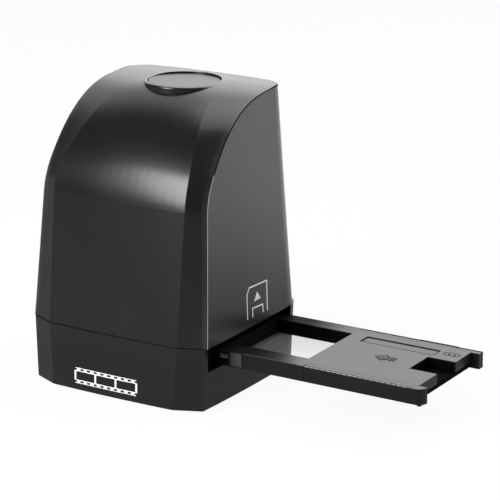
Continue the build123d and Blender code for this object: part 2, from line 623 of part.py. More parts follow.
def processor_chip():
    """The image processor on the front of the main board."""
    front = MAIN_BOARD_REAR_Y - BOARD_THICKNESS
    chip = block(-PROCESSOR_SIZE / 2, PROCESSOR_SIZE / 2, front - PROCESSOR_HEIGHT, front,
                 PROCESSOR_Z - PROCESSOR_SIZE / 2, PROCESSOR_Z + PROCESSOR_SIZE / 2)
    return chamfer(chip.faces().sort_by(Axis.Y)[0].edges(), PROCESSOR_HEIGHT / 4)


def usb_socket():
    """The small data socket between the main board and the rear wall."""
    half_w = SOCKET_WIDTH / 2
    half_h = SOCKET_HEIGHT / 2
    shell = block(-half_w, half_w, MAIN_BOARD_REAR_Y, SOCKET_END_Y, SOCKET_Z - half_h, SOCKET_Z + half_h)
    shell = chamfer(shell.edges().filter_by(Axis.Y).sort_by(Axis.Z)[:2], half_h / 3)
    mouth = block(-half_w + SOCKET_SHELL, half_w - SOCKET_SHELL, SOCKET_END_Y - SOCKET_DEPTH,
                  SOCKET_END_Y + 1, SOCKET_Z - half_h + SOCKET_SHELL, SOCKET_Z + half_h - SOCKET_SHELL)
    mouth = chamfer(mouth.edges().filter_by(Axis.Y).sort_by(Axis.Z)[:2], half_h / 3)
    tongue = block(-half_w / 2, half_w / 2, SOCKET_END_Y - SOCKET_DEPTH - SOCKET_SHELL, SOCKET_END_Y - 1,
                   SOCKET_Z, SOCKET_Z + SOCKET_SHELL * 2)
    return shell - mouth + tongue


# ---- scan button ----
def scan_button():
    """The round key with its skirt and its stem."""
    plate = boss_solid(BUTTON_RADIUS, -BUTTON_PLATE, 0)
    rim = plate.edges().filter_by(GeomType.CIRCLE).sort_by(Axis.Z)[-1]
    plate = fillet(rim, BUTTON_EDGE)
    skirt = boss_solid(BUTTON_RADIUS, -BUTTON_SKIRT_DEPTH, -BUTTON_PLATE)
    skirt -= boss_solid(BUTTON_RADIUS - BUTTON_SKIRT, -BUTTON_SKIRT_DEPTH - 1, -BUTTON_PLATE)
    stem = boss_solid(STEM_RADIUS, -STEM_LENGTH, -BUTTON_PLATE)
    return plate + skirt + stem


def button_spring():
    """The return spring's sleeve about the stem, from the carrier to the key."""
    outer = boss_solid(SPRING_RADIUS + SPRING_WIRE / 2, CARRIER_TOP, -BUTTON_PLATE)
    return outer - boss_solid(SPRING_RADIUS - SPRING_WIRE / 2, CARRIER_TOP - 1, 0)


def button_carrier():
    """The disc under the boss that guides the stem and carries the button board."""
    disc = boss_solid(BOSS_RADIUS, CARRIER_BOTTOM, CARRIER_TOP)
    for x in (-CARRIER_POST_X, CARRIER_POST_X):
        disc += BUTTON_PLANE * rod(x, 0, BUTTON_BOARD_TOP, CARRIER_BOTTOM, CARRIER_POST_RADIUS)
        disc -= BUTTON_PLANE * rod(x, 0, BUTTON_BOARD_TOP, CARRIER_TOP, SCREW_RADIUS)
    disc -= boss_solid(STEM_RADIUS + STEM_GAP, CARRIER_BOTTOM - 1, CARRIER_TOP + 1)
    pipe_hole = rod(0, LIGHT_PIPE_Y, CARRIER_BOTTOM - 1, CARRIER_TOP + 1, LIGHT_PIPE_RADIUS)
    return disc - BUTTON_PLANE * pipe_hole


def button_board():
    """The board under the carrier."""
    bottom = BUTTON_BOARD_TOP - BOARD_THICKNESS
    half_x = BUTTON_BOARD_X / 2
    board = block(-half_x, half_x, BUTTON_BOARD_Y0, BUTTON_BOARD_Y1, bottom, BUTTON_BOARD_TOP)
    for x in (-CARRIER_POST_X, CARRIER_POST_X):
        board -= rod(x, 0, bottom - 1, BUTTON_BOARD_TOP + 1, SCREW_RADIUS + SCREW_HOLE_GAP)
    return BUTTON_PLANE * board


def carrier_screws():
    """Screws from below through the button board into the carrier's posts."""
    bottom = BUTTON_BOARD_TOP - BOARD_THICKNESS
    places = [BUTTON_PLANE * Pos(x, 0, bottom) * Rot(180, 0, 0) for x in (-CARRIER_POST_X, CARRIER_POST_X)]
    return screws(places, CARRIER_SCREW_LENGTH)


def button_switch():
    """The small switch under the stem's travel."""
    contact = -STEM_LENGTH - BUTTON_TRAVEL - SWITCH_GAP
    half = SWITCH_SIZE / 2
    body_top = contact - SWITCH_BUTTON_HEIGHT
    body = block(-half, half, -half, half, BUTTON_BOARD_TOP, body_top)
    return BUTTON_PLANE * (body + rod(0, 0, body_top, contact, SWITCH_BUTTON_RADIUS))


def indicator_lens():
    """The light pipe behind the key, from the button board's lamp to the top surface."""
    pipe = rod(0, LIGHT_PIPE_Y, BUTTON_BOARD_TOP, LIGHT_PIPE_PROUD, LIGHT_PIPE_RADIUS)
    return BUTTON_PLANE * pipe


# ---- film holder ----
def near_rail(x0, x1):
    """A length of the rail on the holder's hinge side."""
    return block(x0, x1, HOLDER_FRONT_Y, HOLDER_FRONT_Y + HOLDER_NEAR_RAIL, HOLDER_BOTTOM_Z, HOLDER_TOP_Z)


def knuckle_starts():
    """Where the lid's hinge knuckles begin: one beside each window."""
    return [centre + KNUCKLE_START for centre in WINDOW_CENTRES]


def window(centre, margin, z0, z1):
    """The space over or under one film window."""
    half_x = WINDOW_LENGTH / 2 + margin
    half_y = WINDOW_WIDTH / 2 + margin
    return block(centre - half_x, centre + half_x, OPTICAL_Y - half_y, OPTICAL_Y + half_y, z0, z1)


def pin_ends(start):
    """Both ends of a hinge pin: its head lies before the knuckle and its tip behind it."""
    notch_x = start - KNUCKLE_LENGTH / 2 + PIN_NOTCH_LENGTH / 2
    return notch_x, start + KNUCKLE_LENGTH + PIN_NOTCH_LENGTH


def holder_frame():
    """The lower half of the holder: floor, both rails, end bar and the knuckles for the lid."""
    body = block(HOLDER_INNER_X, HOLDER_OUTER_X, HOLDER_FRONT_Y, HOLDER_REAR_Y,
                 HOLDER_BOTTOM_Z, HOLDER_TOP_Z)
    near_corner = body.edges().filter_by(Axis.Z).group_by(Axis.X)[-1].sort_by(Axis.Y)[0]
    body = fillet(near_corner, HOLDER_CORNER_RADIUS)
    body -= block(HOLDER_INNER_X + HOLDER_END_BAR, HOLDER_OUTER_X + 1, HOLDER_FRONT_Y + HOLDER_NEAR_RAIL,
                  HOLDER_REAR_Y - HOLDER_FAR_RAIL, HOLDER_BOTTOM_Z + HOLDER_FLOOR, HOLDER_TOP_Z + 1)
    body -= block(HOLDER_FLOOR_END_X, HOLDER_OUTER_X + 1, HOLDER_FRONT_Y + HOLDER_NEAR_RAIL,
                  HOLDER_REAR_Y - HOLDER_FAR_RAIL, HOLDER_BOTTOM_Z - 1, HOLDER_TOP_Z + 1)
    for centre in WINDOW_CENTRES:
        body -= window(centre, 0, HOLDER_BOTTOM_Z - 1, HOLDER_TOP_Z)
        body -= window(centre, PANE_MARGIN, PANE_TOP_Z - PANE_THICKNESS, PANE_TOP_Z)
        body -= window(centre, PANE_MARGIN, HOLDER_BOTTOM_Z - 1, PANE_TOP_Z)
    for start in knuckle_starts():
        body -= near_rail(start - LID_CLEARANCE, start + KNUCKLE_LENGTH + LID_CLEARANCE)
        head_x, tip_x = pin_ends(start)
        body -= rod_along_x(head_x, tip_x, PIN_Y, PIN_Z, PIN_RADIUS)
        body -= block(head_x, head_x + PIN_NOTCH_LENGTH, HOLDER_FRONT_Y - 1, PIN_Y + PIN_HEAD_RADIUS,
                      PIN_Z - PIN_HEAD_RADIUS, PIN_Z + PIN_HEAD_RADIUS)
    body -= block(TAB_X0 - LID_CLEARANCE, TAB_X1 + LID_CLEARANCE, HOLDER_REAR_Y - HOLDER_FAR_RAIL - 1,
                  HOLDER_REAR_Y + 1, HOLDER_TOP_Z - TAB_THICKNESS, HOLDER_TOP_Z + 1)
    lug = block(HOLDER_OUTER_X - LUG_LENGTH, HOLDER_OUTER_X, HOLDER_REAR_Y - HOLDER_FAR_RAIL,
                HOLDER_REAR_Y, HOLDER_BOTTOM_Z, HOLDER_TOP_Z)
    return body + lug


def holder_lid():
    """The upper half of the holder, with windows, finger notch, knuckles and thumb tab."""
    front_y = HOLDER_FRONT_Y + HOLDER_NEAR_RAIL + LID_CLEARANCE
    rear_y = HOLDER_REAR_Y - HOLDER_FAR_RAIL - LID_CLEARANCE
    lid = block(HOLDER_INNER_X + HOLDER_END_BAR + LID_CLEARANCE, LID_END_X, front_y, rear_y,
                LID_BOTTOM_Z, HOLDER_TOP_Z)
    for start in knuckle_starts():
        knuckle = block(start, start + KNUCKLE_LENGTH, HOLDER_FRONT_Y, front_y, HOLDER_BOTTOM_Z,
                        HOLDER_TOP_Z)
        knuckle -= block(start, start + KNUCKLE_LENGTH, HOLDER_FRONT_Y + HOLDER_NEAR_RAIL, front_y + 1,
                         HOLDER_BOTTOM_Z - 1, LID_BOTTOM_Z)
        knuckle -= rod_along_x(start - 1, start + KNUCKLE_LENGTH + 1, PIN_Y, PIN_Z, PIN_RADIUS + PIN_RUN)
        lid += knuckle
    for centre in WINDOW_CENTRES:
        lid -= window(centre, 0, LID_BOTTOM_Z - 1, HOLDER_TOP_Z + 1)
    lid -= block(NOTCH_X, LID_END_X + 1, NOTCH_FRONT_Y, NOTCH_REAR_Y, LID_BOTTOM_Z - 1, HOLDER_TOP_Z + 1)
    lid -= block(LABEL_X0, LABEL_X1, LABEL_Y0, LABEL_Y1, HOLDER_TOP_Z - LABEL_DEPTH, HOLDER_TOP_Z + 1)
    tab = block(TAB_X0, TAB_X1, HOLDER_REAR_Y - TAB_DEPTH, HOLDER_REAR_Y + TAB_PROUD,
                HOLDER_TOP_Z - TAB_THICKNESS + LID_CLEARANCE, HOLDER_TOP_Z)
    return lid + tab


def holder_panes():
    """The two clear panes under the film windows."""
    gap = DIFFUSER_GAP
    return Compound(children=[window(centre, PANE_MARGIN - gap, PANE_TOP_Z - PANE_THICKNESS, PANE_TOP_Z)
                              for centre in WINDOW_CENTRES])


def hinge_pins():
    """Two headed pins through the knuckles."""
    pins = []
    for start in knuckle_starts():
        head_x, tip_x = pin_ends(start)
        gap = (PIN_NOTCH_LENGTH - PIN_HEAD_LENGTH) / 2
        head = rod_along_x(head_x + gap, head_x + gap + PIN_HEAD_LENGTH, PIN_Y, PIN_Z, PIN_HEAD_RADIUS)
        pins.append(head + rod_along_x(head_x + gap, tip_x, PIN_Y, PIN_Z, PIN_RADIUS))
    return Compound(children=pins)


NODES = {
    "base_shell": base_shell,
    "bottom_plate": bottom_plate,
    "rubber_feet": rubber_feet,
    "base_screws": base_screws,
    "front_wrap": front_wrap,
    "rear_housing": rear_housing,
    "lower_film_guide": lower_film_guide,
    "upper_film_guide": upper_film_guide,
    "guide_screws": guide_screws,
    "backlight_box": backlight_box,
    "diffuser_plate": diffuser_plate,
    "backlight_board": backlight_board,
    "backlight_lamps": backlight_lamps,
    "light_tunnel": light_tunnel,
    "lens_barrel": lens_barrel,
    "lens_glass": lens_glass,
    "sensor_board": sensor_board,
    "sensor_chip": sensor_chip,
    "camera_bracket": camera_bracket,
    "bracket_screws": bracket_screws,
    "main_board": main_board,
    "board_screws": board_screws,
    "processor_chip": processor_chip,
    "usb_socket": usb_socket,
    "scan_button": scan_button,
    "button_spring": button_spring,
    "button_carrier": button_carrier,
    "button_board": button_board,
    "carrier_screws": carrier_screws,
    "button_switch": button_switch,
    "indicator_lens": indicator_lens,
    "holder_frame": holder_frame,
    "holder_lid": holder_lid,
    "holder_panes": holder_panes,
    "hinge_pins": hinge_pins,
}

os.makedirs("parts", exist_ok=True)
for name, make in NODES.items():
    export_step(make(), os.path.join("parts", name + ".step"))
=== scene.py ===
"""Looks of a film negative scanner: a dark moulded tower, its round key and its film holder."""

from __future__ import annotations

import json
import logging
import math
from dataclasses import dataclass, field
from enum import Enum
from typing import Callable, Sequence, Union

import bmesh
import bpy
from mathutils import Matrix, Vector

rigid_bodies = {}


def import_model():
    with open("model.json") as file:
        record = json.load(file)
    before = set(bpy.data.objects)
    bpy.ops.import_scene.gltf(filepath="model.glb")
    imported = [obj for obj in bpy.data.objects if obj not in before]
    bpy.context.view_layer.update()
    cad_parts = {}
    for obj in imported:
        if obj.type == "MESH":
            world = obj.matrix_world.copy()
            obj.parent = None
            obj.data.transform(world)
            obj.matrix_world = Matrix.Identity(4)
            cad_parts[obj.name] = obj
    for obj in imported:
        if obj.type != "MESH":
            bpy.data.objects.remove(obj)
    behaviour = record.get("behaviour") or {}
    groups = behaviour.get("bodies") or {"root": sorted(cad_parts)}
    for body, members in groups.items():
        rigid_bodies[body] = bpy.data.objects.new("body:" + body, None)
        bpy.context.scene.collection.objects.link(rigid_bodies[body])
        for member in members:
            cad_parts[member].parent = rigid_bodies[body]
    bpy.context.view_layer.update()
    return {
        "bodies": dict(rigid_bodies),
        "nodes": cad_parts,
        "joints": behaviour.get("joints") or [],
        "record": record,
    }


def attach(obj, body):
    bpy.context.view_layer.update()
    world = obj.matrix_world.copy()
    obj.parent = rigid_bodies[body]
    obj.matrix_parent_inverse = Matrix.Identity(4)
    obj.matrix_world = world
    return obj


LOG = logging.getLogger("film_scanner")
MM = 0.001
Point = tuple[float, float, float]
Plan = tuple[float, float]
Value = Union[float, "Signal"]


class Body(Enum):
    """The rigid bodies that pieces ride on."""

    HOUSING = "housing"
    KEY = "scan_key"
    HOLDER = "film_holder"


class Signal:
    """A shader socket that can be used in arithmetic; each operator adds a Math node."""

    def __init__(self, tree: bpy.types.NodeTree, socket: bpy.types.NodeSocket) -> None:
        """Wraps an output socket.

        Args:
            tree: the node tree that the socket belongs to.
            socket: the output socket.
        """
        self.tree = tree
        self.socket = socket

    def _math(self, operation: str, first: Value, second: Value) -> "Signal":
        """Adds one Math node.

        Args:
            operation: the Math node's operation.
            first: its first value.
            second: its second value.

        Returns:
            The node's output.
        """
        node = self.tree.nodes.new("ShaderNodeMath")
        node.operation = operation
        for slot, value in zip(node.inputs, (first, second)):
            if isinstance(value, Signal):
                self.tree.links.new(value.socket, slot)
            else:
                slot.default_value = value
        return Signal(self.tree, node.outputs[0])

    def __add__(self, other: Value) -> "Signal":
        """Returns self + other."""
        return self._math("ADD", self, other)

    def __radd__(self, other: float) -> "Signal":
        """Returns other + self."""
        return self._math("ADD", other, self)

    def __sub__(self, other: Value) -> "Signal":
        """Returns self - other."""
        return self._math("SUBTRACT", self, other)

    def __rsub__(self, other: float) -> "Signal":
        """Returns other - self."""
        return self._math("SUBTRACT", other, self)

    def __mul__(self, other: Value) -> "Signal":
        """Returns self * other."""
        return self._math("MULTIPLY", self, other)

    def __rmul__(self, other: float) -> "Signal":
        """Returns other * self."""
        return self._math("MULTIPLY", other, self)

    def highest(self, other: Value) -> "Signal":
        """Returns the larger of self and other."""
        return self._math("MAXIMUM", self, other)


class Palette:
    """The node tree of a material or a world, with a single method that adds any node."""

    def __init__(self, owner: bpy.types.ID) -> None:
        """Empties the owner's node tree.

        Args:
            owner: the material or world.
        """
        self.owner = owner
        owner.use_nodes = True
        self.tree = owner.node_tree
        self.tree.nodes.clear()

    @classmethod
    def of_material(cls, name: str) -> "Palette":
        """Makes an empty material.

        Args:
            name: the material's name.

        Returns:
            The palette of the new material.
        """
        return cls(bpy.data.materials.new(name))

    def add(self, kind: str, settings: dict[str, object] | None = None,
            values: dict[str, object] | None = None, output: str | int = 0) -> Signal:
        """Adds a node: its settings first, then the values or links of its sockets.

        Args:
            kind: the node's type.
            settings: properties of the node; "stops" holds a ramp's (position, grey) pairs.
            values: values or signals by input name or number.
            output: which output to return.

        Returns:
            The wanted output.
        """
        node = self.tree.nodes.new(kind)
        for key, value in (settings or {}).items():
            if key == "stops":
                self._set_stops(node, value)
            else:
                setattr(node, key, value)
        for key, value in (values or {}).items():
            slot = node.inputs[key]
            if isinstance(value, Signal):
                self.tree.links.new(value.socket, slot)
            else:
                slot.default_value = value
        return Signal(self.tree, node.outputs[output]) if node.outputs else Signal(self.tree, None)

    @staticmethod
    def _set_stops(node: bpy.types.Node, stops: Sequence[tuple[float, float]]) -> None:
        """Sets a grey ramp's stops.

        Args:
            node: the ColorRamp node.
            stops: (position, grey) pairs, two or more.
        """
        elements = node.color_ramp.elements
        while len(elements) < len(stops):
            elements.new(1.0)
        for element, (position, grey) in zip(elements, stops):
            element.position = position
            element.color = (grey, grey, grey, 1.0)

    def grain(self, scale: float, detail: float = 3.0, stretch: Point = (1, 1, 1)) -> Signal:
        """Adds noise in the object's own space.

        Args:
            scale: noise cells to the metre.
            detail: the noise's octaves.
            stretch: how much the noise is squeezed along each axis.

        Returns:
            The noise, from 0 to 1.
        """
        place = self.add("ShaderNodeTexCoord", output="Object")
        scaled = self.add("ShaderNodeVectorMath", {"operation": "MULTIPLY"}, {0: place, 1: stretch})
        return self.add("ShaderNodeTexNoise", {}, {"Vector": scaled, "Scale": scale, "Detail": detail})

    def blend(self, factor: Value, first: Signal | Point, second: Point) -> Signal:
        """Mixes two colours.

        Args:
            factor: 0 for the first colour, 1 for the second.
            first: the first colour, or a signal that carries it.
            second: the second colour.

        Returns:
            The mixed colour.
        """
        start = first if isinstance(first, Signal) else (*first, 1.0)
        values = {0: factor, 6: start, 7: (*second, 1.0)}
        return self.add("ShaderNodeMix", {"data_type": "RGBA"}, values, output=2)

    def bump(self, height: Signal, distance: float, strength: float) -> Signal:
        """Turns a height into a normal.

        Args:
            height: the height signal.
            distance: the height's depth in metres.
            strength: from 0 to 1.

        Returns:
            The normal.
        """
        values = {"Height": height, "Distance": distance, "Strength": strength}
        return self.add("ShaderNodeBump", {}, values)

    def ramp(self, value: Signal, start: float, end: float, low: float = 0.0,
             high: float = 1.0) -> Signal:
        """Eases from one level to another.

        Args:
            value: the input.
            start: the input at which the low level ends.
            end: the input at which the high level begins.
            low: the first level.
            high: the second level.

        Returns:
            The eased level.
        """
        values = {"Value": value, "From Min": start, "From Max": end, "To Min": low, "To Max": high}
        return self.add("ShaderNodeMapRange", {"interpolation_type": "SMOOTHSTEP"}, values)

    def axis(self, coordinate: str, index: int) -> Signal:
        """Returns one axis of a texture coordinate, such as Object or Normal."""
        place = self.add("ShaderNodeTexCoord", output=coordinate)
        return self.add("ShaderNodeSeparateXYZ", {}, {0: place}, output=index)

    def finish(self, surface: Signal) -> bpy.types.ID:
        """Connects the surface.

        Args:
            surface: the shader.

        Returns:
            The finished material or world.
        """
        world = isinstance(self.owner, bpy.types.World)
        kind = "ShaderNodeOutputWorld" if world else "ShaderNodeOutputMaterial"
        self.add(kind, {}, {"Surface": surface})
        return self.owner


@dataclass(frozen=True)
class MouldedPlastic:
    """Plastic with a fine spark-eroded grain, faint flow marks and rubbed edges.

    Where it has a shade colour, the faces that look forward or up are painted darker than the rest:
    painted shade by facing. Inside a shade box, and on faces that look forward, the skin gives way to a
    dull, almost black painted shade, like the shaded walls of a deep recess, as far as the box's depth says.
    """

    name: str
    colour: Point
    worn: Point
    roughness: float = 0.34
    roughness_swing: float = 0.06
    grain_scale: float = 3200.0
    grain_depth: float = 0.00003
    grain_strength: float = 0.25
    specular: float = 0.6
    # painted shade: the darker colour that faces looking forward or up take
    facing_shade_colour: Point | None = None
    # painted shade boxes: a span in mm for each axis, a depth and a fade at the right end
    shade_boxes: tuple[tuple[Plan, Plan, Plan, float, float], ...] = ()
    # painted shade on faces that look forward, up to this share
    front_shade: float = 0.0
    flow_coarseness: float = 80.0
    flow_lift: float = 1.25
    rub_stops: tuple[Plan, Plan] = ((0.52, 0.0), (0.62, 1.0))
    rub_strength: float = 0.6
    fine_roughness: float = 0.04
    # how far a face turns forward or up before it takes the painted shade colour
    facing_shade_turn: Plan = (0.3, 0.36)
    # how soft a shade box's edges are, in mm
    shade_box_edge: float = 0.1

    def make(self) -> bpy.types.Material:
        """Makes the plastic, with its pits where it has any.

        Returns:
            The material.
        """
        tone = Palette.of_material(self.name)
        fine = tone.grain(self.grain_scale)
        cloud = tone.grain(self.grain_scale / self.flow_coarseness, detail=5.0)
        edge = tone.add("ShaderNodeNewGeometry", output="Pointiness")
        rubbed = tone.add("ShaderNodeValToRGB", {"stops": self.rub_stops}, {"Fac": edge})
        body = tone.blend(cloud, self.colour, tuple(c * self.flow_lift for c in self.colour))
        # painted shade: faces that look forward or up take the darker colour
        if self.facing_shade_colour:
            body = tone.blend(self._facing_shade(tone), body, self.facing_shade_colour)
        shade = tone.blend(rubbed * cloud * self.rub_strength, body, self.worn)
        middle = self.roughness - self.roughness_swing / 2
        rough = cloud * self.roughness_swing + fine * self.fine_roughness + middle
        normal = tone.bump(fine, self.grain_depth, self.grain_strength)
        skin = tone.add("ShaderNodeBsdfPrincipled", {}, {
            "Base Color": shade, "Roughness": rough, "Normal": normal,
            "Specular IOR Level": self.specular})
        if not self.shade_boxes:
            return tone.finish(skin)
        # painted shade: a dull, almost black skin, mixed in where the shade boxes and forward faces call for it
        shade_skin = tone.add("ShaderNodeBsdfPrincipled", {}, {
            "Base Color": tone.blend(cloud, (0.001, 0.001, 0.001), (0.002, 0.002, 0.002)),
            "Roughness": cloud * 0.1 + 0.8, "Specular IOR Level": 0.05})
        return tone.finish(tone.add("ShaderNodeMixShader", {}, {0: self._painted_shade(tone), 1: skin, 2: shade_skin}))

    def _facing_shade(self, tone: Palette) -> Signal:
        """Returns 1 on the faces that look forward or up, which take the painted shade colour."""
        forward = tone.ramp(tone.axis("Normal", 1) * -1.0, *self.facing_shade_turn)
        return forward.highest(tone.ramp(tone.axis("Normal", 2), *self.facing_shade_turn))

    def _painted_shade(self, tone: Palette) -> Signal:
        """Tells how much painted shade a place gets.

        Each shade box has a span in mm for each axis, its depth, and how far it fades at its right end;
        faces that look forward get painted shade as well.

        Args:
            tone: the material's palette.

        Returns:
            0 for the plain plastic, 1 for the dull, almost black painted shade.
        """
        # painted shade on faces that look forward
        level = tone.ramp(tone.axis("Normal", 1) * -1.0, 0.5, 0.9, 0.0, self.front_shade)
        for *spans, depth, fade in self.shade_boxes:
            inside = depth
            for index, (low, high) in enumerate(spans):
                place = tone.axis("Object", index)
                hard, soft = self.shade_box_edge, self.shade_box_edge if index else fade
                inside = tone.ramp(place, (low - hard) * MM, (low + hard) * MM) * inside
                inside = tone.ramp(place, (high - soft) * MM, (high + soft) * MM, 1.0, 0.0) * inside
            level = level.highest(inside)
        return level


@dataclass(frozen=True)
class DrawnMetal:
    """Sheet or turned metal with fine drawn lines."""

    name: str
    colour: Point
    roughness: float = 0.32
    line_scale: float = 900.0
    stretch: Point = (0.05, 1.0, 1.0)

    def make(self) -> bpy.types.Material:
        """Makes the metal.

        Returns:
            The material.
        """
        tone = Palette.of_material(self.name)
        lines = tone.grain(self.line_scale, stretch=self.stretch)
        cloud = tone.grain(60.0, detail=4.0)
        shade = tone.blend(lines, tuple(c * 0.8 for c in self.colour), self.colour)
        rough = lines * 0.15 + cloud * 0.08 + (self.roughness - 0.1)
        return tone.finish(tone.add("ShaderNodeBsdfPrincipled", {}, {
            "Base Color": shade, "Metallic": 1.0, "Roughness": rough,
            "Normal": tone.bump(lines, 0.00002, 0.3)}))


@dataclass(frozen=True)
class BoardLacquer:
    """A circuit board's lacquer over faint copper tracks."""

    name: str
    colour: Point
    track: Point

    def make(self) -> bpy.types.Material:
        """Makes the lacquer.

        Returns:
            The material.
        """
        tone = Palette.of_material(self.name)
        place = tone.add("ShaderNodeTexCoord", output="Object")
        cells = tone.add("ShaderNodeTexBrick", {"offset": 0.5}, {
            "Vector": place, "Scale": 260.0, "Mortar Size": 0.06,
            "Color1": (0, 0, 0, 1), "Color2": (0, 0, 0, 1), "Mortar": (1, 1, 1, 1)})
        weave = tone.grain(1500.0)
        shade = tone.blend(cells * 0.5, self.colour, self.track)
        rough = weave * 0.12 + 0.22
        return tone.finish(tone.add("ShaderNodeBsdfPrincipled", {}, {
            "Base Color": shade, "Roughness": rough, "Normal": tone.bump(cells, 0.00003, 0.4)}))


@dataclass(frozen=True)
class SoftRubber:
    """Dull rubber with a dusty skin."""

    name: str
    colour: Point

    def make(self) -> bpy.types.Material:
        """Makes the rubber.

        Returns:
            The material.
        """
        tone = Palette.of_material(self.name)
        dust = tone.grain(500.0, detail=6.0)
        shade = tone.blend(dust, self.colour, tuple(c * 1.8 + 0.01 for c in self.colour))
        return tone.finish(tone.add("ShaderNodeBsdfPrincipled", {}, {
            "Base Color": shade, "Roughness": dust * 0.2 + 0.7,
            "Normal": tone.bump(dust, 0.0001, 0.3)}))


@dataclass(frozen=True)
class ClearSheet:
    """A clear pane with a slight haze: mostly seen through, partly milky."""

    name: str
    colour: Point
    clear: float = 0.86
    haze_scale: float = 700.0

    def make(self) -> bpy.types.Material:
        """Makes the pane.

        Returns:
            The material.
        """
        tone = Palette.of_material(self.name)
        haze = tone.grain(self.haze_scale, detail=4.0)
        through = tone.add("ShaderNodeBsdfTransparent", {}, {"Color": (0.97, 0.97, 0.98, 1.0)})
        solid = tone.add("ShaderNodeBsdfPrincipled", {}, {
            "Base Color": tone.blend(haze, tuple(c * 0.9 for c in self.colour), self.colour),
            "Roughness": haze * 0.1 + 0.12})
        factor = (1 - haze * 0.08) * self.clear
        return tone.finish(tone.add("ShaderNodeMixShader", {}, {0: factor, 1: solid, 2: through}))


@dataclass(frozen=True)
class PrintedInk:
    """Pad-printed ink, a little thin in places."""

    name: str
    colour: Point

    def make(self) -> bpy.types.Material:
        """Makes the ink.

        Returns:
            The material.
        """
        tone = Palette.of_material(self.name)
        thin = tone.grain(1800.0, detail=5.0)
        shade = tone.blend(thin, tuple(c * 0.88 for c in self.colour), self.colour)
        return tone.finish(tone.add("ShaderNodeBsdfPrincipled", {}, {
            "Base Color": shade, "Roughness": thin * 0.15 + 0.4,
            "Normal": tone.bump(thin, 0.00001, 0.2)}))


